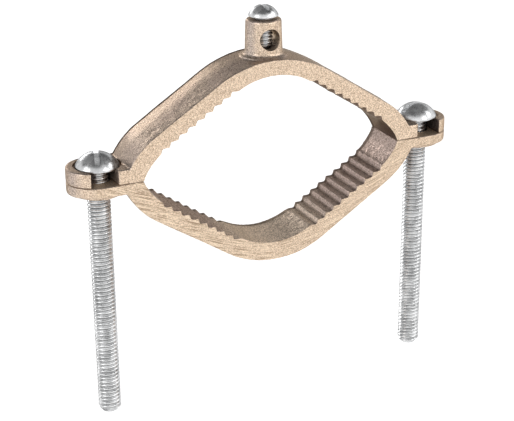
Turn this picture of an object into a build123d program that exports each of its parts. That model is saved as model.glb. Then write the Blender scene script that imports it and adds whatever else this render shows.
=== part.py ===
from build123d import *
import os
from math import acos, atan, cos, sin

# Two-piece cast ground clamp for pipe: a lower jaw with tapped ears, an upper jaw with open
# hooked ears and a wire lug, two clamp screws and one lug screw.
# Frame: X along the clamp from ear to ear, Y through its depth (front is -Y), Z up.
# The origin is the centre of the pipe opening, on the parting plane of the closed jaws.

# ---- Driving dimensions, mm ----
screw_spacing = 123.0          # between the two clamp screw axes
jaw_depth = 19.05              # 3/4 in, front face to back face
face_gap = 0.05                # air between flat faces that bear on each other
upper_crown_height = 36.2      # outer top of the upper jaw above the parting plane
lower_crown_height = 37.2
arm_peak_height = 43.7         # where the two straight arms' outer lines would meet
arm_slope = 0.645              # rise over run of the straight arms
shoulder_radius = 28.0         # outer bend between an arm and its ear
shoulder_start_x = 44.4        # where the straight arm ends
throat_half_width = 48.4       # half width of the opening on the parting plane
throat_height = 30.4           # inner top of either jaw
throat_radius = 26.0           # inner radius over the middle of a jaw

# Outer faces lean in from a ridge, as drawn from a mould. The upper jaw's ridge is near
# mid-depth and the lower jaw's is close behind its front face.
upper_ridge_y = -0.6
lower_ridge_y = -8.5
front_draft = 1.5
upper_back_draft = 4.2
lower_back_draft = 3.8

# Teeth: equal steps along a straight row, each a tread and a steep riser.
tooth_count = 8
tooth_step_x = 3.175
tooth_step_z = 2.06
first_valley = (41.3, 10.0)
tread = (-2.40, 0.60)

# Ears
ear_radius = jaw_depth / 2
ear_center_x = 62.7
upper_ear_thickness = 5.1
lower_ear_thickness = 3.8
slot_width = 9.0
slot_center_x = 61.75
slot_edge_radius = 0.9         # rounding of the slot's front corners
seat_radius = 8.2              # spot face sunk round a screw head
left_seat_z = 4.4              # each seat is faced by hand, so they differ a little
right_seat_z = 4.85
pad_radius = 8.6               # round pad under a tapped ear
pad_height = 0.9

# Clamp screws: 5/16-18 slotted round head, 3-5/8 in long
clamp_screw_diameter = 7.94
clamp_screw_pitch = 25.4 / 18
clamp_screw_length = 92.0
clamp_head_radius = 7.5
clamp_head_height = 5.2
clamp_slot_width = 2.0
clamp_slot_depth = 2.7
left_slot_angle = -14          # degrees from the Y axis
right_slot_angle = -82

# Wire lug on the crown, and its 1/4-20 slotted round head screw, 7/16 in long
lug_top_z = 48.3
lug_top_radius = 6.1
lug_base_radius = 6.7
lug_top_rounding = 1.0
lug_foot_radius = 1.2
wire_hole_z = 41.9
wire_hole_radius = 3.7
lug_screw_diameter = 6.35
lug_screw_pitch = 25.4 / 20
lug_screw_length = 11.11
lug_screw_lift = 0.8           # head stands this far off the lug when closed on no wire
lug_head_radius = 5.15
lug_head_height = 3.9
lug_slot_width = 1.6
lug_slot_depth = 2.0
lug_slot_angle = 2
head_rim = 0.10                # straight part of a head's side, share of its height
screw_clearance = 0.05         # radial, between a thread crest and its hole
seat_depth_below_hole = 2.0    # drilling below the wire hole for the lug screw's tip

# ---- Derived places ----
screw_x = screw_spacing / 2
half_depth = jaw_depth / 2
lug_head_z = lug_top_z + lug_screw_lift
arm_angle = atan(arm_slope)


def mirrored(point):
    return -point[0], point[1]


def arch_body(crown_height, ear_thickness, ridge_y, back_draft):
    """Outer bulk of a jaw, drafted front and back from the ridge, cut flat at z = 0."""
    below = -3.0
    # The crown is the arc that touches both arms and tops out at the crown height.
    crown_radius = (arm_peak_height - crown_height) / (1 / cos(arm_angle) - 1)
    arm_top_x = crown_radius * sin(arm_angle)
    arm_top = (arm_top_x, arm_peak_height - arm_slope * arm_top_x)
    start = (shoulder_start_x, arm_peak_height - arm_slope * shoulder_start_x)

    def shoulder_point(angle):
        x = start[0] + shoulder_radius * (sin(angle) - sin(arm_angle))
        z = start[1] - shoulder_radius * (cos(arm_angle) - cos(angle))
        return x, z

    # The bend goes on until it meets the ear.
    end_angle = acos(cos(arm_angle) - (start[1] - ear_thickness) / shoulder_radius)
    middle = shoulder_point((arm_angle + end_angle) / 2)
    end = shoulder_point(end_angle)
    outline = [
        ThreePointArc(mirrored(arm_top), (0, crown_height), arm_top),
        Line(arm_top, start),
        ThreePointArc(start, middle, end),
        Line(end, (end[0], below)),
        Line((end[0], below), (-end[0], below)),
        Line((-end[0], below), mirrored(end)),
        ThreePointArc(mirrored(end), mirrored(middle), mirrored(start)),
        Line(mirrored(start), mirrored(arm_top)),
    ]
    # The XZ plane's normal is -Y, so a positive amount runs to the front.
    section = Plane.XZ.offset(-ridge_y) * make_face(Curve() + outline)
    front = extrude(section, amount=half_depth + ridge_y, taper=front_draft)
    back = extrude(section, amount=ridge_y - half_depth, taper=back_draft)
    keep = Pos(0, 0, crown_height) * Box(4 * screw_x, 2 * jaw_depth, 2 * crown_height)
    return (front + back) & keep


def throat():
    """The pipe opening's upper half: side curves, tooth rows and the round top."""
    valley_x, valley_z = first_valley
    first_tip = (valley_x + tooth_step_x + tread[0], valley_z - tooth_step_z + tread[1])
    below = -3.0
    points = [first_tip]
    for tooth in range(tooth_count + 1):
        valley = (valley_x - tooth * tooth_step_x, valley_z + tooth * tooth_step_z)
        points.append(valley)
        if tooth < tooth_count:
            points.append((valley[0] + tread[0], valley[1] + tread[1]))
    arc_x = points[-1][0] + tread[0]
    center_z = throat_height - throat_radius
    arc_end = (arc_x, center_z + (throat_radius ** 2 - arc_x ** 2) ** 0.5)
    side_start = (throat_half_width, 0)
    side_middle = (throat_half_width - 2.3, 4.3)
    outline = [
        Line((0, below), (throat_half_width, below)),
        Line((throat_half_width, below), side_start),
        ThreePointArc(side_start, side_middle, first_tip),
        Polyline(*points, arc_end),
        ThreePointArc(arc_end, (arc_x / 2, center_z + (throat_radius ** 2 - arc_x ** 2 / 4) ** 0.5),
                      (0, throat_height)),
        Line((0, throat_height), (0, below)),
    ]
    half = extrude(Plane.XZ * make_face(Curve() + outline), amount=jaw_depth, both=True)
    return half + mirror(half, about=Plane.YZ)


def ear_plate(side, thickness):
    """One flat ear with a round end, from inside the shoulder outwards."""
    inner_x = throat_half_width + 2.0
    length = ear_center_x - inner_x
    plan = Pos(side * (inner_x + length / 2), 0) * Rectangle(length, jaw_depth)
    plan += Pos(side * ear_center_x, 0) * Circle(ear_radius)
    return extrude(plan, amount=thickness)


def hook_slot(side):
    """Front-opening slot that lets an upper ear swing or slide onto its screw."""
    plan = Pos(side * slot_center_x, 0) * Circle(slot_width / 2)
    plan += Pos(side * slot_center_x, -jaw_depth / 2) * Rectangle(slot_width, jaw_depth)
    return extrude(plan, amount=3 * upper_ear_thickness, both=True)


def wire_lug():
    """Drafted round boss on the crown for the ground wire."""
    base_z = throat_height + 2.0
    height = lug_top_z - base_z
    boss = Pos(0, 0, base_z + height / 2) * Cone(lug_base_radius, lug_top_radius, height)
    return fillet(boss.edges().group_by(Axis.Z)[-1], lug_top_rounding)


def make_upper_jaw():
    jaw = arch_body(upper_crown_height, upper_ear_thickness, upper_ridge_y, upper_back_draft)
    jaw += wire_lug()
    foot = jaw.edges().filter_by(GeomType.BSPLINE).filter_by(
        lambda edge: abs(edge.center().X) < lug_base_radius
    )
    jaw = fillet(foot, lug_foot_radius)
    for side in (-1, 1):
        jaw += ear_plate(side, upper_ear_thickness)
    jaw -= throat()
    for side, seat_z in ((-1, left_seat_z), (1, right_seat_z)):
        jaw -= hook_slot(side)
        jaw -= Pos(side * screw_x, 0, seat_z) * Cylinder(
            seat_radius, 20, align=(Align.CENTER, Align.CENTER, Align.MIN))
    slot_edges = [
        edge for edge in jaw.edges().filter_by(Axis.Z)
        if abs(edge.center().Y + half_depth) < 0.01 and abs(abs(edge.center().X) - slot_center_x) < slot_width
    ]
    jaw = fillet(slot_edges, slot_edge_radius)
    jaw -= Pos(0, 0, wire_hole_z) * Rot(90, 0, 0) * Cylinder(wire_hole_radius, 2 * jaw_depth)
    tip_z = wire_hole_z - wire_hole_radius - seat_depth_below_hole
    jaw -= Pos(0, 0, tip_z) * Cylinder(
        lug_screw_diameter / 2 + screw_clearance, 20, align=(Align.CENTER, Align.CENTER, Align.MIN))
    return jaw


def make_lower_jaw():
    jaw = arch_body(lower_crown_height, lower_ear_thickness, lower_ridge_y, lower_back_draft)
    for side in (-1, 1):
        jaw += ear_plate(side, lower_ear_thickness)
        pad = Pos(side * screw_x, 0, lower_ear_thickness + pad_height / 2) * Cone(
            pad_radius, pad_radius - pad_height / 2, pad_height)
        jaw += pad
    jaw -= throat()
    for side in (-1, 1):
        jaw -= Pos(side * screw_x, 0) * Cylinder(
            clamp_screw_diameter / 2 + screw_clearance, 4 * lower_ear_thickness)
    return Pos(0, 0, -face_gap) * mirror(jaw, about=Plane.XY)


def slotted_screw(diameter, pitch, length, head_radius, head_height, slot_width, slot_depth):
    """Round head screw pointing down, head seated at z = 0, threaded to the head.

    The thread is drawn as rings of its true pitch and depth.
    """
    crest = diameter / 2
    root = crest - 0.6134 * pitch
    rim = head_rim * head_height
    rings = int((length - pitch) / pitch)
    shank = [(crest, 0)]
    for ring in range(rings):
        z = -pitch * (ring + 1)
        shank.append((root, z + pitch / 2))
        shank.append((crest, z))
    shank += [(root, -length), (0, -length), (0, 0)]
    screw = revolve(Plane.XZ * make_face(Polyline(*shank, close=True)), Axis.Z)
    cap_height = head_height - rim
    cap_radius = (head_radius ** 2 + cap_height ** 2) / (2 * cap_height)
    dome = Curve() + [
        Line((0, 0), (head_radius, 0)),
        Line((head_radius, 0), (head_radius, rim)),
        RadiusArc((head_radius, rim), (0, head_height), -cap_radius),
        Line((0, head_height), (0, 0)),
    ]
    screw += revolve(Plane.XZ * make_face(dome), Axis.Z)
    slot = Pos(0, 0, head_height) * Box(slot_width, 3 * head_radius, 2 * slot_depth)
    return screw - slot


def make_clamp_screw(side, seat_z, slot_angle):
    screw = slotted_screw(clamp_screw_diameter, clamp_screw_pitch, clamp_screw_length,
                          clamp_head_radius, clamp_head_height, clamp_slot_width, clamp_slot_depth)
    return Pos(side * screw_x, 0, seat_z + face_gap) * Rot(0, 0, slot_angle) * screw


def make_lug_screw():
    screw = slotted_screw(lug_screw_diameter, lug_screw_pitch, lug_screw_length,
                          lug_head_radius, lug_head_height, lug_slot_width, lug_slot_depth)
    return Pos(0, 0, lug_head_z) * Rot(0, 0, lug_slot_angle) * screw


os.makedirs("parts", exist_ok=True)
parts = {
    "lower_jaw": make_lower_jaw(),
    "upper_jaw": make_upper_jaw(),
    "clamp_screw_left": make_clamp_screw(-1, left_seat_z, left_slot_angle),
    "clamp_screw_right": make_clamp_screw(1, right_seat_z, right_slot_angle),
    "lug_screw": make_lug_screw(),
}
for name, shape in parts.items():
    export_step(shape, f"parts/{name}.step")
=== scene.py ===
import math

import bmesh
import bpy
import numpy as np
from mathutils import Matrix, Vector, noise


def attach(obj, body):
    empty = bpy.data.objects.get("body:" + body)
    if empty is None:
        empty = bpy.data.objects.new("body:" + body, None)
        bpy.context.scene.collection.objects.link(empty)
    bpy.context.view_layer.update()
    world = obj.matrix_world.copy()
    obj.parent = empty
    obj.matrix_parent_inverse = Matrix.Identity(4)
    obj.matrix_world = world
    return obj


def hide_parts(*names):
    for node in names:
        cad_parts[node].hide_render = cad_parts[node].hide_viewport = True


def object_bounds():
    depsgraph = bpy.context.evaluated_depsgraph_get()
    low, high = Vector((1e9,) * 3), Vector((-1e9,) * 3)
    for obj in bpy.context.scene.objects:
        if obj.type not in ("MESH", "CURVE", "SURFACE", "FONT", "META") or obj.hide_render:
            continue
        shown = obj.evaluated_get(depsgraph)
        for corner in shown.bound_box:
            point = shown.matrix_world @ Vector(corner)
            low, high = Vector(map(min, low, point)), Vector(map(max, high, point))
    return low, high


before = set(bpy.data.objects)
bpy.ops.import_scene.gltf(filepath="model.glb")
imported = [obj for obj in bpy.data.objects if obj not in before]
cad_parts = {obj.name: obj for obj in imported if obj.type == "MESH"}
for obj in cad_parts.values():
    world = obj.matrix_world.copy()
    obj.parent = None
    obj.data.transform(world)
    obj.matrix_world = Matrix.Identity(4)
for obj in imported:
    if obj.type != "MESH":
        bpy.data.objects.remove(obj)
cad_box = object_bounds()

# Looks of a two-piece cast ground clamp. Shapes are drawn in millimetres in the CAD frame
# (X ear to ear, Y depth with the front at -Y, Z up) and brought to metres when finished.
MM = 0.001

# ---- Casting, mm ----
HALF_DEPTH = 9.525
UPPER_CROWN = 36.2
LOWER_CROWN = 37.2
ARM_PEAK = 43.7
ARM_SLOPE = 0.645
ARM_ANGLE = math.atan(ARM_SLOPE)
SHOULDER_RADIUS = 28.0
SHOULDER_START_X = 44.4
THROAT_HALF_WIDTH = 48.4
THROAT_HEIGHT = 30.4
THROAT_RADIUS = 26.0
THROAT_SIDE = (46.1, 4.3)       # a point of the side curve between the parting plane and the teeth
TOOTH_COUNT = 8
TOOTH_STEP = (3.175, 2.06)
FIRST_VALLEY = (41.3, 10.0)
TREAD = (-2.40, 0.60)
UPPER_EAR = 5.1
LOWER_EAR = 3.8
EAR_ROUND = 0.7
EAR_CENTER_X = 62.7
EAR_INNER_X = 50.4
SLOT_CENTER_X = 61.75
SLOT_WIDTH = 9.0
SLOT_CORNER = 1.0
LIP_SETBACK = 0.5               # the hook's tip stands this far behind the front face
SCREW_X = 61.5
SEAT_RADIUS = 8.2
SEAT_Z = {-1: 4.4, 1: 4.85}
PAD_RADIUS = 8.6
PAD_HEIGHT = 0.9
PAD_ROUND = 0.5
TAPPED_RADIUS = 4.02
TAPPED_MOUTH = 4.5             # where the tapped hole's chamfers end
FACE_GAP = 0.05

# Outer faces: two low slopes that meet in a soft ridge, and rounded rims.
# Each jaw: depth of the ridge, drop from it to the front face and to the back face.
UPPER_RIDGE = (0.8, 0.55, 0.50)
LOWER_RIDGE = (-8.2, 0.04, 1.15)
FRONT_RIM_RADIUS = 0.2
BACK_RIM_RADIUS = 1.3
RIDGE_BLEND = 0.09

# How much of the back's draft is filled up at the crown, and over which |x| that fades out.
UPPER_CROWN_FILL = 0.9
LOWER_CROWN_FILL = 0.0
CROWN_FILL_FADE = (6, 26)

# Tooth relief beyond the CAD's: valleys cut deeper, tips stand higher towards the back.
VALLEY_CUT = 0.28
TIP_LIFT_FRONT = 0.10
TIP_LIFT_BACK = 0.42

# ---- Lug, mm ----
LUG_TOP_Z = 48.3
LUG_TOP_RADIUS = 6.1
LUG_BASE_RADIUS = 6.7
LUG_BASE_Z = 32.4
LUG_TOP_ROUND = 1.0
LUG_FOOT_ROUND = 1.6
WIRE_HOLE_Z = 41.9
WIRE_HOLE_RADIUS = 3.7
LUG_BORE_RADIUS = 3.22
LUG_BORE_FLOOR = 36.2

# ---- Screws, mm ----
CLAMP_SCREW = dict(diameter=7.94, pitch=25.4 / 18, length=92.0, head_radius=7.5,
                   head_height=5.2, slot_width=2.0, slot_depth=2.7)
LUG_SCREW = dict(diameter=6.35, pitch=25.4 / 20, length=11.11, head_radius=5.15,
                 head_height=3.9, slot_width=1.6, slot_depth=2.0)
SLOT_ANGLE = {-1: -14, 1: -82}
LUG_SLOT_ANGLE = 2
HEAD_RIM = 0.10                # share of the head's height below its dome
HEAD_EDGE = 0.16
LUG_HEAD_Z = 49.1
ROD_IN_HEAD = 0.6
THREAD_DEPTH = 0.6134          # of the pitch
THREAD_ROOT = 0.03
MID_FLANK = 0.29               # depth of the middle of a flank, of the pitch
END_STEP = 0.35                # from the thread's root to the chamfered end
END_SLOPE = 0.9
ROD_SIDES = 56

# ---- Casting surface, mm ----
VOXEL = 0.27
SKIN_SMOOTHING = 1
TOOTH_SMOOTHING = 22
TOOTH_FRONT_SHARE = 0.15
TOOTH_FRONT_FADE = (0.3, 1.8)  # depth behind the front face
SKIN_WAVES = ((0.050, 2.3), (0.028, 0.95), (0.10, 9.0))    # height and size of each
GRIND_DEPTH = 0.012
GRIND_SIZE = 1.5
END_CLEARANCE = 0.01
FACE_CLEARANCE = 0.003
FAR = 20                       # cutters reach this far past the casting


# ---------------------------------------------------------------- mesh helpers
def new_piece(name, points, faces):
    mesh = bpy.data.meshes.new(name)
    mesh.from_pydata(np.asarray(points, float).tolist(), [], faces)
    piece = bpy.data.objects.new(name, mesh)
    bpy.context.scene.collection.objects.link(piece)
    solid = bmesh.new()
    solid.from_mesh(mesh)
    bmesh.ops.remove_doubles(solid, verts=solid.verts, dist=1e-4)
    bmesh.ops.recalc_face_normals(solid, faces=solid.faces)
    solid.to_mesh(mesh)
    solid.free()
    return piece


def stack(name, rings):
    """Closed solid through rings that all have the same number of points."""
    rings = np.asarray(rings, float)
    count, size = rings.shape[:2]
    faces = [(r * size + k, r * size + (k + 1) % size, (r + 1) * size + (k + 1) % size, (r + 1) * size + k)
             for r in range(count - 1) for k in range(size)]
    faces += [tuple(reversed(range(size))), tuple(range((count - 1) * size, count * size))]
    return new_piece(name, rings.reshape(-1, 3), faces)


def turned(name, profile, sides=96):
    """Solid turned about Z from a profile of (radius, z) that starts and ends near the axis."""
    angles = np.linspace(0, 2 * math.pi, sides, endpoint=False)
    rings = [[(radius * math.cos(a), radius * math.sin(a), z) for a in angles] for radius, z in profile]
    return stack(name, rings)


def settle(piece):
    """Applies the piece's modifiers."""
    graph = bpy.context.evaluated_depsgraph_get()
    old = piece.data
    piece.data = bpy.data.meshes.new_from_object(piece.evaluated_get(graph))
    piece.modifiers.clear()
    bpy.data.meshes.remove(old)
    return piece


def combine(piece, tool, operation):
    joint = piece.modifiers.new("combine", "BOOLEAN")
    joint.operation = operation
    joint.solver = "MANIFOLD"
    joint.object = tool
    settle(piece)
    bpy.data.objects.remove(tool)
    return piece


def shift(piece, x=0.0, y=0.0, z=0.0, turn=0.0, about="Z"):
    piece.data.transform(Matrix.Translation((x, y, z)) @ Matrix.Rotation(math.radians(turn), 4, about))
    return piece


def flip_down(piece):
    """Mirrors a piece to the other side of the parting plane."""
    piece.data.transform(Matrix.Scale(-1, 4, (0, 0, 1)))
    piece.data.flip_normals()
    return piece


def arc(center, radius, start, end, count):
    """Points (x, z) on a circle; angles in degrees from +X towards +Z."""
    return [(center[0] + radius * math.cos(math.radians(a)), center[1] + radius * math.sin(math.radians(a)))
            for a in np.linspace(start, end, count)]


def smoothstep(value, low, high):
    t = np.clip((value - low) / (high - low), 0, 1)
    return t * t * (3 - 2 * t)


# ---------------------------------------------------------------- castings
def outer_half(crown, ear):
    """Right half of a jaw's outer line from the top down, as (x, z, normal x, normal z)."""
    crown_radius = (ARM_PEAK - crown) / (1 / math.cos(ARM_ANGLE) - 1)
    start_z = ARM_PEAK - ARM_SLOPE * SHOULDER_START_X
    end_angle = math.acos(math.cos(ARM_ANGLE) - (start_z - ear) / SHOULDER_RADIUS)
    line = []
    for a in np.linspace(0, ARM_ANGLE, 40):
        line.append((crown_radius * math.sin(a), crown - crown_radius * (1 - math.cos(a)),
                     math.sin(a), math.cos(a)))
    for a in np.linspace(ARM_ANGLE, end_angle, 30):
        line.append((SHOULDER_START_X + SHOULDER_RADIUS * (math.sin(a) - math.sin(ARM_ANGLE)),
                     start_z - SHOULDER_RADIUS * (math.cos(ARM_ANGLE) - math.cos(a)),
                     math.sin(a), math.cos(a)))
    line.append((line[-1][0], 0.0, 1.0, 0.0))
    return line


def inner_half():
    """Right half of the pipe opening from the top down, as (x, z, kind): its tooth row has
    valleys (kind -1) and tips (kind 1), and the rest is plain (kind 0)."""
    row = [(FIRST_VALLEY[0] + TOOTH_STEP[0] + TREAD[0], FIRST_VALLEY[1] - TOOTH_STEP[1] + TREAD[1], 1)]
    for tooth in range(TOOTH_COUNT + 1):
        valley = (FIRST_VALLEY[0] - tooth * TOOTH_STEP[0], FIRST_VALLEY[1] + tooth * TOOTH_STEP[1])
        row.append((*valley, -1))
        if tooth < TOOTH_COUNT:
            row.append((valley[0] + TREAD[0], valley[1] + TREAD[1], 1))
    top_x = row[-1][0] + TREAD[0]
    center_z = THROAT_HEIGHT - THROAT_RADIUS
    top = [(x, center_z + math.sqrt(THROAT_RADIUS ** 2 - x * x), 0) for x in np.linspace(0, top_x, 24)]
    foot = np.array([(THROAT_HALF_WIDTH, 0), THROAT_SIDE, row[0][:2]])
    # A parabola through the three points stands for the side curve.
    bend = np.polyfit(foot[:, 1], foot[:, 0], 2)
    side = [(np.polyval(bend, z), z, 0) for z in np.linspace(row[0][1], 0, 14)]
    return top + row[::-1] + side[1:]


def rim_layers(ridge_y, front_drop, back_drop):
    """Depth y of each layer with the draft and the rim rounding of its outer line, front to back."""
    layers = []
    for a in np.linspace(90, 0, 4):
        layers.append((-HALF_DEPTH + FRONT_RIM_RADIUS * (1 - math.sin(math.radians(a))), -front_drop,
                       FRONT_RIM_RADIUS * (math.cos(math.radians(a)) - 1)))
    for y in np.linspace(-HALF_DEPTH + FRONT_RIM_RADIUS, HALF_DEPTH - BACK_RIM_RADIUS, 26)[1:]:
        front = front_drop * (ridge_y - y) / (ridge_y + HALF_DEPTH)
        back = back_drop * (y - ridge_y) / (HALF_DEPTH - ridge_y)
        drop = RIDGE_BLEND * math.log(math.exp(front / RIDGE_BLEND) + math.exp(back / RIDGE_BLEND))
        layers.append((y, -drop, 0))
    last_y, last, _ = layers[-1]
    for a in np.linspace(0, 90, 9)[1:]:
        layers.append((last_y + BACK_RIM_RADIUS * math.sin(math.radians(a)), last,
                       BACK_RIM_RADIUS * (math.cos(math.radians(a)) - 1)))
    return layers


def arch(name, crown, ear, ridge, crown_fill):
    """One jaw without its ears: the outer and inner lines swept through the depth."""
    outer = outer_half(crown, ear)
    outer = [(-x, z, -nx, nz) for x, z, nx, nz in outer[::-1]] + outer[1:]
    inner = inner_half()
    inner = inner[::-1] + [(-x, z, kind) for x, z, kind in inner[1:]]
    rings = []
    for y, draft, rim in rim_layers(*ridge):
        ring = []
        for x, z, nx, nz in outer:
            # The back of the crown is fuller than the back of the arms.
            full = crown_fill * (1 - float(smoothstep(abs(x), *CROWN_FILL_FADE))) * (y > ridge[0])
            offset = rim + draft * (1 - full)
            ring.append((x + nx * offset, y, z + nz * offset))
        back = (y + HALF_DEPTH) / (2 * HALF_DEPTH)
        lift = {0: 0.0, -1: -VALLEY_CUT, 1: TIP_LIFT_FRONT + (TIP_LIFT_BACK - TIP_LIFT_FRONT) * back}
        for x, z, kind in inner:
            side = 1 if x > 0 else -1
            ring.append((x - side * math.sin(ARM_ANGLE) * lift[kind], y,
                         z - math.cos(ARM_ANGLE) * lift[kind]))
        rings.append(ring)
    return stack(name, rings)


def ear(name, side, thickness, rim):
    """One ear with a round end and softened edges, lying on the parting plane."""
    outline = [(EAR_INNER_X, -HALF_DEPTH)]
    outline += arc((EAR_CENTER_X, 0), HALF_DEPTH, -90, 90, 60)
    outline += [(EAR_INNER_X, HALF_DEPTH)]
    # The rim is rounded half as much on the parting plane as on the outer side.
    quarter = [math.radians(a) for a in (0, 30, 60, 90)]
    insets = [(rim / 2 * (1 - math.sin(a)), rim / 2 * (1 - math.cos(a))) for a in quarter]
    insets += [(rim * (1 - math.cos(a)), thickness - rim * (1 - math.sin(a))) for a in quarter]
    rings = []
    for inset, z in insets:
        factor = (HALF_DEPTH - inset) / HALF_DEPTH
        rings.append([(side * (EAR_CENTER_X + (x - EAR_CENTER_X) * factor if x > EAR_CENTER_X else x),
                       y * factor, z) for x, y in outline])
    return stack(name, rings)


def slot_cutter(side):
    """The open slot of an upper ear, with both front corners rounded off."""
    half = SLOT_WIDTH / 2
    front = -HALF_DEPTH
    wide = half + SLOT_CORNER
    outline = [(-wide - 2, front - 4), (-wide - 2, front)]
    outline += arc((-wide, front + SLOT_CORNER), SLOT_CORNER, -90, 0, 8)
    outline += arc((0, 0), half, 180, 0, 40)
    outline += arc((wide, front + SLOT_CORNER + LIP_SETBACK), SLOT_CORNER, 180, 270, 8)
    outline += [(wide + 2, front + LIP_SETBACK), (wide + 2, front - 4)]
    rings = [[(side * (SLOT_CENTER_X + x), y, z) for x, y in outline] for z in (-5, 15)]
    return stack("slot_cutter", rings)


def soften(piece, steps, group=""):
    relax = piece.modifiers.new("soften", "SMOOTH")
    relax.factor = 0.5
    relax.iterations = steps
    relax.vertex_group = group
    return settle(piece)


def remeshed(piece):
    """Even cells for the casting's skin, with the creases between its solids blended."""
    cells = piece.modifiers.new("cells", "REMESH")
    cells.mode = "VOXEL"
    cells.voxel_size = VOXEL
    settle(piece)
    soften(piece, SKIN_SMOOTHING)
    return round_teeth(piece)


def round_teeth(piece):
    """Casting rounds the teeth off; the front rim of the row, cut by the grinder, stays crisper."""
    run = math.hypot(*TOOTH_STEP)
    along_x, along_z = -TOOTH_STEP[0] / run, TOOTH_STEP[1] / run
    group = piece.vertex_groups.new(name="teeth")
    for vertex in piece.data.vertices:
        x, y, z = vertex.co
        dx, dz = abs(x) - FIRST_VALLEY[0], z - FIRST_VALLEY[1]
        along = dx * along_x + dz * along_z
        out = dx * along_z - dz * along_x
        if -5 < along < TOOTH_COUNT * run + 3 and -2.4 < out < 0.9:
            inside = float(smoothstep(y + HALF_DEPTH, *TOOTH_FRONT_FADE))
            group.add([vertex.index], TOOTH_FRONT_SHARE + (1 - TOOTH_FRONT_SHARE) * inside, "REPLACE")
    soften(piece, TOOTH_SMOOTHING, "teeth")
    piece.vertex_groups.clear()
    return piece


def cast_skin(piece, seed):
    """Sand-cast unevenness everywhere but on the front, back and parting faces, which are ground."""
    mesh = piece.data
    count = len(mesh.vertices)
    at = np.zeros(count * 3)
    mesh.vertices.foreach_get("co", at)
    at = at.reshape(-1, 3)
    normal = np.zeros(count * 3)
    mesh.vertices.foreach_get("normal", normal)
    normal = normal.reshape(-1, 3)
    ground = smoothstep(np.abs(normal[:, 1]), 0.75, 0.97)
    parting = smoothstep(-normal[:, 2], 0.7, 0.95) * (at[:, 2] < 1)
    amount = np.array([sum(high * noise.noise(Vector(p) / size + seed) for high, size in SKIN_WAVES)
                       for p in at])
    pits = np.array([noise.noise(Vector(p) / GRIND_SIZE - seed) for p in at])
    amount = amount * (1 - ground) - ground * GRIND_DEPTH * (1 + pits)
    amount *= 1 - parting
    at += normal * amount[:, None]
    reach = np.array([EAR_CENTER_X + HALF_DEPTH - END_CLEARANCE, HALF_DEPTH - FACE_CLEARANCE])
    at[:, :2] = np.clip(at[:, :2], -reach, reach)
    mesh.vertices.foreach_set("co", at.ravel())
    mesh.update()


def flat_cylinder(name, radius, low, high, sides=128):
    return turned(name, [(radius, low), (radius, high)], sides)


def lug():
    """Tapered round boss whose foot flares into the crown and whose top edge is rounded."""
    def wall(z):
        share = (z - LUG_BASE_Z) / (LUG_TOP_Z - LUG_BASE_Z)
        return LUG_BASE_RADIUS + (LUG_TOP_RADIUS - LUG_BASE_RADIUS) * share

    foot_z = UPPER_CROWN - 0.3
    quarter = [math.radians(a) for a in np.linspace(0, 90, 8)]
    profile = [(LUG_BASE_RADIUS + LUG_FOOT_ROUND, foot_z - 2 * LUG_FOOT_ROUND)]
    for a in quarter:
        z = foot_z + LUG_FOOT_ROUND * (1 - math.cos(a))
        profile.append((wall(z) + LUG_FOOT_ROUND * (1 - math.sin(a)), z))
    profile += [(wall(z), z)
                for z in np.linspace(foot_z + LUG_FOOT_ROUND + 0.5, LUG_TOP_Z - LUG_TOP_ROUND, 6)]
    for a in quarter[1:]:
        profile.append((LUG_TOP_RADIUS - LUG_TOP_ROUND * (1 - math.cos(a)),
                        LUG_TOP_Z - LUG_TOP_ROUND * (1 - math.sin(a))))
    return turned("lug", profile)


def upper_jaw():
    piece = arch("upper_jaw_casting", UPPER_CROWN, UPPER_EAR, UPPER_RIDGE, UPPER_CROWN_FILL)
    combine(piece, lug(), "UNION")
    for side in (-1, 1):
        combine(piece, ear("ear", side, UPPER_EAR, EAR_ROUND), "UNION")
    for side in (-1, 1):
        combine(piece, slot_cutter(side), "DIFFERENCE")
    remeshed(piece)
    cast_skin(piece, Vector((3.1, 7.7, 1.3)))
    for side in (-1, 1):
        seat = flat_cylinder("seat", SEAT_RADIUS, SEAT_Z[side], FAR)
        combine(piece, shift(seat, x=side * SCREW_X), "DIFFERENCE")
    hole = flat_cylinder("wire_hole", WIRE_HOLE_RADIUS, -FAR, FAR, 96)
    combine(piece, shift(hole, z=WIRE_HOLE_Z, turn=90, about="X"), "DIFFERENCE")
    combine(piece, flat_cylinder("lug_bore", LUG_BORE_RADIUS, LUG_BORE_FLOOR, 3 * FAR), "DIFFERENCE")
    return piece


def lower_jaw():
    """Built upwards like the upper jaw, then mirrored to its own side of the parting plane."""
    piece = arch("lower_jaw_casting", LOWER_CROWN, LOWER_EAR, LOWER_RIDGE, LOWER_CROWN_FILL)
    pad_z = LOWER_EAR + PAD_HEIGHT
    for side in (-1, 1):
        combine(piece, ear("ear", side, LOWER_EAR, EAR_ROUND), "UNION")
        pad = [(PAD_RADIUS, 1), (PAD_RADIUS, pad_z - PAD_ROUND),
               (PAD_RADIUS - 0.3 * PAD_ROUND, pad_z - 0.3 * PAD_ROUND), (PAD_RADIUS - PAD_ROUND, pad_z)]
        combine(piece, shift(turned("pad", pad), x=side * SCREW_X), "UNION")
    remeshed(piece)
    cast_skin(piece, Vector((9.4, 2.2, 5.9)))
    for side in (-1, 1):
        bore = [(TAPPED_MOUTH, -5), (TAPPED_MOUTH, 0), (TAPPED_RADIUS, 0.45), (TAPPED_RADIUS, LOWER_EAR + 0.5),
                (TAPPED_MOUTH, pad_z + 0.05), (TAPPED_MOUTH, pad_z + 5)]
        combine(piece, shift(turned("bore", bore), x=side * SCREW_X), "DIFFERENCE")
    return shift(flip_down(piece), z=-FACE_GAP)


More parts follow.
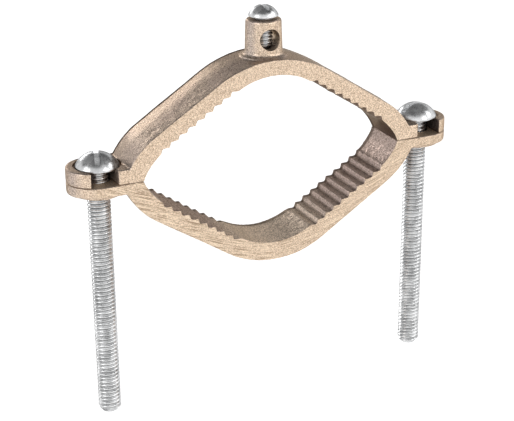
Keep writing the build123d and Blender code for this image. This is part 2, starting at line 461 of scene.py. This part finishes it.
# ---------------------------------------------------------------- screws
def threaded_rod(diameter, pitch, length, top):
    """Right-hand thread whose mesh rows follow the helix, chamfered at the lower end."""
    crest = diameter / 2
    root = crest - THREAD_DEPTH * pitch
    flank = crest - MID_FLANK * pitch
    end_radius = root - END_STEP
    # One turn of the thread as (share of the pitch, radius), from crest to root and back.
    profile = [(0.0, crest - 0.02), (0.10, crest), (0.19, crest - 0.03), (0.36, flank),
               (0.52, root + THREAD_ROOT), (0.60, root), (0.68, root + THREAD_ROOT), (0.84, flank)]
    rows = len(profile)
    turns = int((length + top) / pitch) + 3
    low = -length - pitch
    points = []
    for lap in range(turns):
        for part, radius in profile:
            for k in range(ROD_SIDES):
                a = 2 * math.pi * k / ROD_SIDES
                z = low + pitch * (lap + part + k / ROD_SIDES)
                r = min(radius, end_radius + (z + length) * END_SLOPE)
                if z <= -length or z >= top:
                    r = end_radius
                z = min(max(z, -length), top)
                points.append((r * math.cos(a), r * math.sin(a), z))
    # The last point of a row joins the first point of the row one turn further up.
    faces = []
    last = ROD_SIDES - 1
    total = turns * rows
    for i in range(total - 1):
        row, above = i * ROD_SIDES, (i + 1) * ROD_SIDES
        for k in range(last):
            faces.append((row + k, row + k + 1, above + k + 1, above + k))
        if i + rows + 1 < total:
            turn_up = rows * ROD_SIDES
            faces.append((row + last, row + turn_up, above + turn_up, above + last))
    piece = new_piece("rod", points, faces)
    solid = bmesh.new()
    solid.from_mesh(piece.data)
    bmesh.ops.holes_fill(solid, edges=[edge for edge in solid.edges if edge.is_boundary], sides=0)
    bmesh.ops.recalc_face_normals(solid, faces=solid.faces)
    solid.to_mesh(piece.data)
    solid.free()
    return piece


def slotted_screw(name, diameter, pitch, length, head_radius, head_height, slot_width, slot_depth):
    """Round head screw with the underside of its head at z 0 and its slot along Y."""
    rim = HEAD_RIM * head_height
    cap = head_height - rim
    ball = (head_radius ** 2 + cap ** 2) / (2 * cap)
    profile = [(head_radius - 0.3, 0), (head_radius - 0.08, 0.08), (head_radius, 0.25), (head_radius, rim)]
    for a in np.linspace(math.asin(head_radius / ball), 0.02, 28)[1:]:
        profile.append((ball * math.sin(a), head_height - ball * (1 - math.cos(a))))
    head = turned(name, profile, 128)
    half = slot_width / 2
    slot = stack("slot", [[(-half, -FAR, z), (half, -FAR, z), (half, FAR, z), (-half, FAR, z)]
                          for z in (head_height - slot_depth, head_height + 5)])
    combine(head, slot, "DIFFERENCE")
    edges = head.modifiers.new("edges", "BEVEL")
    edges.width = HEAD_EDGE
    edges.segments = 2
    edges.limit_method = "ANGLE"
    edges.angle_limit = math.radians(38)
    settle(head)
    return combine(head, threaded_rod(diameter, pitch, length, ROD_IN_HEAD), "UNION")


def finish_piece(piece, body, node, material, angle=38):
    piece.data.transform(Matrix.Scale(MM, 4))
    piece.data.materials.clear()
    piece.data.materials.append(material)
    piece.data.shade_smooth()
    piece.data.set_sharp_from_angle(angle=math.radians(angle))
    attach(piece, body)
    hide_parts(node)
    return piece


# ---------------------------------------------------------------- materials
# Linear colours.
GROUND_DARK, GROUND_LIGHT, GROUND_FLECK = (0.38, 0.28, 0.20, 1), (0.96, 0.78, 0.60, 1), (0.60, 0.43, 0.305, 1)
CAST_DARK, CAST_LIGHT, CAST_FLECK = (0.18, 0.145, 0.125, 1), (0.80, 0.67, 0.565, 1), (0.46, 0.37, 0.325, 1)
CAST_BLOTCH = (0.40, 0.32, 0.30, 1)
STREAK_DARK, STREAK_LIGHT = (0.30, 0.21, 0.135, 1), (0.86, 0.70, 0.52, 1)
# Edge colour: light worn metal together with a painted highlight along sharp edges.
WORN_EDGE_AND_HIGHLIGHT = (0.80, 0.645, 0.475, 1)
# Painted shade: in hollows and creases, along the tooth valleys and along the joint of the two jaws.
HOLLOW_SHADE, VALLEY_SHADE, JOINT_SHADE = (0.10, 0.07, 0.055, 1), (0.07, 0.05, 0.045, 1), (0.10, 0.065, 0.045, 1)
# Painted shade on the rounded back rim.
BACK_RIM_SHADE = (0.05, 0.035, 0.022, 1)
# Bore tones with painted shade and light: the upper jaw's bore painted dark, the lower jaw's walls darker and
# its up-facing bottom lighter.
UPPER_BORE_SHADE = (0.21, 0.16, 0.145, 1)
LOWER_BORE_WALL_SHADE, LOWER_BORE_BOTTOM_LIT = (0.53, 0.415, 0.37, 1), (0.88, 0.73, 0.60, 1)
BLACK = (0.0, 0.0, 0.0, 1)
# Zinc tones, and painted shade for the thread roots.
ZINC_DARK, ZINC_LIGHT, ZINC_ROOT_SHADE = (0.58, 0.585, 0.59, 1), (0.84, 0.845, 0.85, 1), (0.07, 0.07, 0.065, 1)
BRONZE_EDGE_TINT, ZINC_EDGE_TINT = (0.4, 0.33, 0.25, 1), (0.3, 0.3, 0.3, 1)
PAPER_DARK, PAPER_LIGHT, WHITE = (0.93, 0.93, 0.93, 1), (0.95, 0.95, 0.95, 1), (1, 1, 1, 1)

# Grinding streaks: how far from the middle they lie level, their slope along an arm, their
# width in mm, and their breadth over their length.
LEVEL_LINES, LINE_SLOPE, LINE_WIDTH, LINE_STRETCH = 14, 0.42, 0.25, 0.028


class Finish:
    """A Principled material that is built up socket by socket."""

    def __init__(self, name):
        self.material = bpy.data.materials.new(name)
        self.material.use_nodes = True
        self.tree = self.material.node_tree
        self.shader = next(n for n in self.tree.nodes if n.type == "BSDF_PRINCIPLED")
        self.where = self.add("TexCoord")

    def add(self, kind, inputs=None, **settings):
        node = self.tree.nodes.new("ShaderNode" + kind)
        for key, value in settings.items():
            setattr(node, key, value)
        for key, value in (inputs or {}).items():
            self.feed(node.inputs[key], value)
        return node

    def feed(self, socket, value):
        if isinstance(value, bpy.types.NodeSocket):
            self.tree.links.new(value, socket)
        else:
            socket.default_value = value

    def grain(self, size, detail, roughness=0.55):
        """Noise whose features are about this many millimetres across."""
        return self.add("TexNoise", {"Vector": self.where.outputs["Object"], "Scale": 1 / (MM * size),
                                     "Detail": detail, "Roughness": roughness}).outputs["Fac"]

    def grinding_lines(self, width, stretch):
        """Long fine scratches that run along the jaw's arms and level across its middle."""
        place = self.add("SeparateXYZ", {"Vector": self.where.outputs["Object"]})
        squared = self.math("MULTIPLY", place.outputs["X"], place.outputs["X"])
        reach = self.math("SQRT", self.math("ADD", squared, (LEVEL_LINES * MM) ** 2))
        across = self.math("SUBTRACT", place.outputs["Z"], self.math("MULTIPLY", reach, LINE_SLOPE))
        line = self.add("CombineXYZ", {"X": self.math("MULTIPLY", place.outputs["X"], stretch), "Z": across})
        return self.add("TexNoise", {"Vector": line.outputs["Vector"], "Scale": 1 / (MM * width), "Detail": 2.0,
                                     "Roughness": 0.6}).outputs["Fac"]

    def tooth_valleys(self, width):
        """1 along the valleys of the tooth rows, falling to 0 at this distance (mm) from them."""
        run = math.hypot(*TOOTH_STEP)
        place = self.add("SeparateXYZ", {"Vector": self.where.outputs["Object"]})
        x = self.math("SUBTRACT", self.math("ABSOLUTE", place.outputs["X"]), FIRST_VALLEY[0] * MM)
        z = self.math("SUBTRACT", self.math("ABSOLUTE", place.outputs["Z"]), FIRST_VALLEY[1] * MM)
        along = self.math("SUBTRACT", self.math("MULTIPLY", z, TOOTH_STEP[1] / run),
                          self.math("MULTIPLY", x, TOOTH_STEP[0] / run))
        count = self.math("DIVIDE", along, run * MM)
        offset = self.math("ABSOLUTE", self.math("SUBTRACT", count, self.math("ROUND", count)))
        in_row = self.math("MULTIPLY", self.ramp(count, -0.3, -0.1),
                           self.ramp(count, TOOTH_COUNT + 0.3, TOOTH_COUNT + 0.1))
        return self.math("MULTIPLY", in_row, self.ramp(offset, width / run, 0.25 * width / run))

    def ramp(self, value, low, high, bottom=0.0, top=1.0):
        inputs = {"Value": value, "From Min": low, "From Max": high, "To Min": bottom, "To Max": top}
        return self.add("MapRange", inputs, interpolation_type="SMOOTHSTEP").outputs["Result"]

    def math(self, operation, a, b=0.0):
        return self.add("Math", {0: a, 1: b}, operation=operation).outputs[0]

    def mix(self, amount, a, b):
        node = self.add("Mix", data_type="RGBA")
        self.feed(node.inputs[0], amount)
        self.feed(node.inputs[6], a)
        self.feed(node.inputs[7], b)
        return node.outputs[2]

    def bump(self, height, depth, strength=1.0, below=None):
        inputs = {"Height": height, "Distance": depth * MM, "Strength": strength}
        if below is not None:
            inputs["Normal"] = below
        return self.add("Bump", inputs).outputs["Normal"]

    def out(self, **sockets):
        for key, value in sockets.items():
            self.feed(self.shader.inputs[key.replace("_", " ")], value)
        return self.material


def cast_bronze(name, wall_shading_tone, bottom_shading_tone, streaks):
    """Speckled cast skin, ground flat faces, and a bore with its own tones on walls and bottom, which are
    painted shade and light.
    """
    f = Finish(name)
    normal = f.add("SeparateXYZ", {"Vector": f.where.outputs["Normal"]})
    place = f.add("SeparateXYZ", {"Vector": f.where.outputs["Object"]})
    facing = f.math("ABSOLUTE", normal.outputs["Y"])
    # The front and back faces and the parting face are ground flat.
    parting = f.math("MULTIPLY", f.ramp(f.math("ABSOLUTE", place.outputs["Z"]), 0.3 * MM, 0.2 * MM),
                     f.ramp(f.math("ABSOLUTE", normal.outputs["Z"]), 0.9, 0.98))
    face = f.ramp(facing, 0.93, 0.985)
    ground = f.math("MAXIMUM", face, parting)
    speckle = f.grain(0.32, 2, roughness=0.6)
    fleck = f.grain(0.6, 2, roughness=0.7)
    coarse = f.grain(2.2, 3)
    blotch = f.grain(10.0, 3)
    ground_colour = f.mix(f.ramp(speckle, 0.36, 0.64), GROUND_DARK, GROUND_LIGHT)
    ground_colour = f.mix(f.ramp(fleck, 0.46, 0.62, 0.0, 0.4), ground_colour, GROUND_FLECK)
    cast_colour = f.mix(f.ramp(speckle, 0.38, 0.62), CAST_DARK, CAST_LIGHT)
    cast_colour = f.mix(f.ramp(fleck, 0.45, 0.63, 0.0, 0.45), cast_colour, CAST_FLECK)
    cast_colour = f.mix(f.ramp(blotch, 0.42, 0.66, 0.0, 0.35), cast_colour, CAST_BLOTCH)
    # The bore side, whose normal looks back at the pipe's axis, has a duller skin, and its tones are painted
    # shade and light: dark in the upper jaw, and in the lower jaw darker walls and a lighter bottom that faces
    # up.
    inward = f.math("ADD", f.math("MULTIPLY", normal.outputs["X"], place.outputs["X"]),
                    f.math("MULTIPLY", normal.outputs["Z"], place.outputs["Z"]))
    bore = f.ramp(inward, -2 * MM, -12 * MM)
    bore_speckle = f.math("ADD", f.math("MULTIPLY", fleck, 0.6), f.math("MULTIPLY", speckle, 0.4))
    bore_shading_tone = f.mix(f.ramp(f.math("ABSOLUTE", place.outputs["Z"]), 20 * MM, 29 * MM), wall_shading_tone, bottom_shading_tone)
    bore_colour = f.mix(f.ramp(bore_speckle, 0.42, 0.58, 0.58, 0.0), bore_shading_tone, BLACK)
    # Painted shade along the valleys of the tooth rows.
    bore_colour = f.mix(f.math("MULTIPLY", f.tooth_valleys(0.62), 0.75), bore_colour, VALLEY_SHADE)
    cast_colour = f.mix(f.math("MULTIPLY", bore, 0.9), cast_colour, bore_colour)
    # Skin that faces the front is handled and rubbed, so it is closer to the ground faces.
    cast_colour = f.mix(f.ramp(facing, 0.35, 0.85, 0.0, 0.85), cast_colour, ground_colour)
    colour = f.mix(ground, cast_colour, ground_colour)
    points = f.add("NewGeometry").outputs["Pointiness"]
    # Sharp edges are lighter: partly wear, partly a painted highlight.
    colour = f.mix(f.ramp(points, 0.52, 0.58, 0.0, 0.45), colour, WORN_EDGE_AND_HIGHLIGHT)
    # Painted shade in hollows and creases.
    colour = f.mix(f.ramp(points, 0.488, 0.43, 0.0, 0.85), colour, HOLLOW_SHADE)
    # Painted shade on the rounded back rim, and painted shade along the joint of the two jaws.
    back = f.math("MULTIPLY", f.ramp(place.outputs["Y"], (HALF_DEPTH - 2.5) * MM, (HALF_DEPTH - 1.8) * MM),
                  f.ramp(ground, 1.0, 0.2))
    rim_shade = f.math("MULTIPLY", back, f.math("SUBTRACT", 0.95, f.math("MULTIPLY", bore, 0.45)))
    colour = f.mix(rim_shade, colour, BACK_RIM_SHADE)
    # Painted shade along the joint of the two jaws, kept off faces that look up or down.
    joint = f.math("MULTIPLY", f.ramp(f.math("ABSOLUTE", place.outputs["Z"]), 0.42 * MM, 0.12 * MM),
                   f.ramp(f.math("ABSOLUTE", normal.outputs["Z"]), 0.8, 0.5))
    colour = f.mix(f.math("MULTIPLY", joint, 0.7), colour, JOINT_SHADE)
    rough = f.math("ADD", f.ramp(speckle, 0.3, 0.7, 0.26, 0.38), f.math("MULTIPLY", ground, 0.12))
    rough = f.math("ADD", rough, f.math("MULTIPLY", back, 0.3))
    relief = f.bump(coarse, 0.10, 0.35)
    relief = f.bump(fleck, 0.06, 0.6, relief)
    relief = f.bump(speckle, 0.05, 0.6, relief)
    if streaks:
        lines = f.grinding_lines(LINE_WIDTH, LINE_STRETCH)
        streaked = f.math("MULTIPLY", face, f.ramp(place.outputs["X"], 0, -30 * MM, 0.6, 0.9))
        colour = f.mix(f.math("MULTIPLY", streaked, f.ramp(lines, 0.52, 0.61)), colour, STREAK_LIGHT)
        colour = f.mix(f.math("MULTIPLY", streaked, f.ramp(lines, 0.48, 0.39)), colour, STREAK_DARK)
        relief = f.bump(f.math("MULTIPLY", lines, face), 0.10, 0.7, relief)
    return f.out(Base_Color=colour, Metallic=0.85, Roughness=rough, Normal=relief,
                 Specular_Tint=BRONZE_EDGE_TINT)


def zinc_plate(name):
    """Bright plating, with painted shade in the thread roots."""
    f = Finish(name)
    fine = f.grain(0.7, 2)
    wide = f.grain(3.5, 3)
    points = f.add("NewGeometry").outputs["Pointiness"]
    colour = f.mix(f.ramp(wide, 0.35, 0.65), ZINC_DARK, ZINC_LIGHT)
    # Painted shade in the thread roots and other hollows.
    colour = f.mix(f.ramp(points, 0.495, 0.44, 0.0, 0.92), colour, ZINC_ROOT_SHADE)
    rough = f.math("ADD", f.ramp(fine, 0.35, 0.65, 0.0, 0.08), f.ramp(wide, 0.35, 0.65, 0.19, 0.29))
    relief = f.bump(wide, 0.04, 0.2)
    relief = f.bump(fine, 0.01, 0.2, relief)
    return f.out(Base_Color=colour, Metallic=1.0, Roughness=rough, Normal=relief,
                 Specular_Tint=ZINC_EDGE_TINT)


upper_bronze = cast_bronze("cast_bronze_fine", UPPER_BORE_SHADE, UPPER_BORE_SHADE, False)
lower_bronze = cast_bronze("cast_bronze_streaked", LOWER_BORE_WALL_SHADE, LOWER_BORE_BOTTOM_LIT, True)
zinc = zinc_plate("zinc_plate")

finish_piece(upper_jaw(), "upper_jaw", "upper_jaw", upper_bronze)
finish_piece(lower_jaw(), "lower_jaw", "lower_jaw", lower_bronze)
for side, word in ((-1, "left"), (1, "right")):
    screw = slotted_screw(f"clamp_screw_{word}_threaded", **CLAMP_SCREW)
    shift(screw, x=side * SCREW_X, z=SEAT_Z[side] + FACE_GAP, turn=SLOT_ANGLE[side])
    finish_piece(screw, f"clamp_screw_{word}", f"clamp_screw_{word}", zinc, 50)
lug_screw = shift(slotted_screw("lug_screw_threaded", **LUG_SCREW), z=LUG_HEAD_Z, turn=LUG_SLOT_ANGLE)
finish_piece(lug_screw, "lug_screw", "lug_screw", zinc, 50)

# ---------------------------------------------------------------- camera
# Azimuth from the front (-Y) towards -X; distance, side and lift in mm from the origin.
AZIMUTH, ELEVATION, ROLL = math.radians(24.39), math.radians(21.65), math.radians(-0.51)
DISTANCE, SIDE, LIFT = 479.14, 2.57, 20.49
FOCAL_PIXELS, IMAGE_WIDTH, SENSOR = 1360, 514, 36.0

forward = Vector((math.sin(AZIMUTH) * math.cos(ELEVATION), math.cos(AZIMUTH) * math.cos(ELEVATION),
                  -math.sin(ELEVATION)))
level = Vector((math.cos(AZIMUTH), -math.sin(AZIMUTH), 0))
upward = level.cross(forward)
right = math.cos(ROLL) * level + math.sin(ROLL) * upward
top = -math.sin(ROLL) * level + math.cos(ROLL) * upward
camera = bpy.data.objects.new("camera", bpy.data.cameras.new("camera"))
bpy.context.scene.collection.objects.link(camera)
spot = (-SIDE * right - LIFT * top - DISTANCE * forward) * MM
camera.matrix_world = Matrix.Translation(spot) @ Matrix((right, top, -forward)).transposed().to_4x4()
camera.data.sensor_width = SENSOR
camera.data.lens = FOCAL_PIXELS * SENSOR / IMAGE_WIDTH
camera.data.clip_start = 0.02
camera.data.clip_end = 20
bpy.context.scene.camera = camera

# ---------------------------------------------------------------- floor, light
FLOOR_REACH = 4
lowest = cad_box[0][2]
corners = [(-1, -1), (1, -1), (1, 1), (-1, 1)]
floor_mesh = bpy.data.meshes.new("floor")
floor_mesh.from_pydata([(x * FLOOR_REACH, y * FLOOR_REACH, lowest) for x, y in corners], [], [(0, 1, 2, 3)])
floor = bpy.data.objects.new("floor", floor_mesh)
bpy.context.scene.collection.objects.link(floor)
paper = Finish("paper")
paper_tone = paper.mix(paper.grain(40.0, 2), PAPER_DARK, PAPER_LIGHT)
floor_mesh.materials.append(paper.out(Base_Color=paper_tone, Roughness=0.9, Specular_IOR_Level=0.2,
                                      Emission_Color=WHITE, Emission_Strength=0.5))


# Softboxes: azimuth (0 in front, 90 on the right) and elevation in degrees, size in metres, watts.
LIGHT_DISTANCE = 1.1
SOFTBOXES = {
    "key": (-80, 29, (0.42, 0.36), 1.7),
    "fill": (73, 36, (0.38, 0.32), 1.1),
    "front": (30, 33, (0.34, 0.26), 1.3),
    "back": (-173, 18, (0.5, 0.10), 1.35),
}
for name, (azimuth, elevation, size, power) in SOFTBOXES.items():
    a, e = math.radians(azimuth), math.radians(elevation)
    place = Vector((math.sin(a) * math.cos(e), -math.cos(a) * math.cos(e), math.sin(e))) * LIGHT_DISTANCE
    light = bpy.data.lights.new(name, "AREA")
    light.shape = "RECTANGLE"
    light.size, light.size_y = size
    light.energy = power
    holder = bpy.data.objects.new(name, light)
    aim = (-place).to_track_quat("-Z", "Y")
    holder.matrix_world = Matrix.Translation(place) @ aim.to_matrix().to_4x4()
    bpy.context.scene.collection.objects.link(holder)

# Surround: white up to a height (direction z) that rises towards the camera's side, dim above it.
SURROUND_RISE = (-0.2, 0.5, 0.0, 0.28)     # from behind to in front: added height
SURROUND_SHADE = (0.44, 0.56, 1.0, 0.17)   # from low to high: strength
world = bpy.data.worlds.new("studio")
world.use_nodes = True
bpy.context.scene.world = world
sky = world.node_tree
background = next(n for n in sky.nodes if n.type == "BACKGROUND")


def sky_node(kind, **settings):
    node = sky.nodes.new("ShaderNode" + kind)
    for key, value in settings.items():
        setattr(node, key, value)
    return node


def sky_ramp(value, limits):
    node = sky_node("MapRange", interpolation_type="SMOOTHSTEP")
    for key, limit in zip(("From Min", "From Max", "To Min", "To Max"), limits):
        node.inputs[key].default_value = limit
    sky.links.new(value, node.inputs["Value"])
    return node.outputs["Result"]


direction = sky_node("TexCoord").outputs["Generated"]
parts = sky_node("SeparateXYZ")
sky.links.new(direction, parts.inputs["Vector"])
ahead = sky_node("VectorMath", operation="DOT_PRODUCT")
ahead.inputs[1].default_value = (-math.sin(AZIMUTH), -math.cos(AZIMUTH), 0)
sky.links.new(direction, ahead.inputs[0])
height = sky_node("Math", operation="SUBTRACT")
sky.links.new(parts.outputs["Z"], height.inputs[0])
sky.links.new(sky_ramp(ahead.outputs["Value"], SURROUND_RISE), height.inputs[1])
sky.links.new(sky_ramp(height.outputs["Value"], SURROUND_SHADE), background.inputs["Strength"])
background.inputs["Color"].default_value = WHITE
bpy.context.scene.view_settings.view_transform = "Standard"
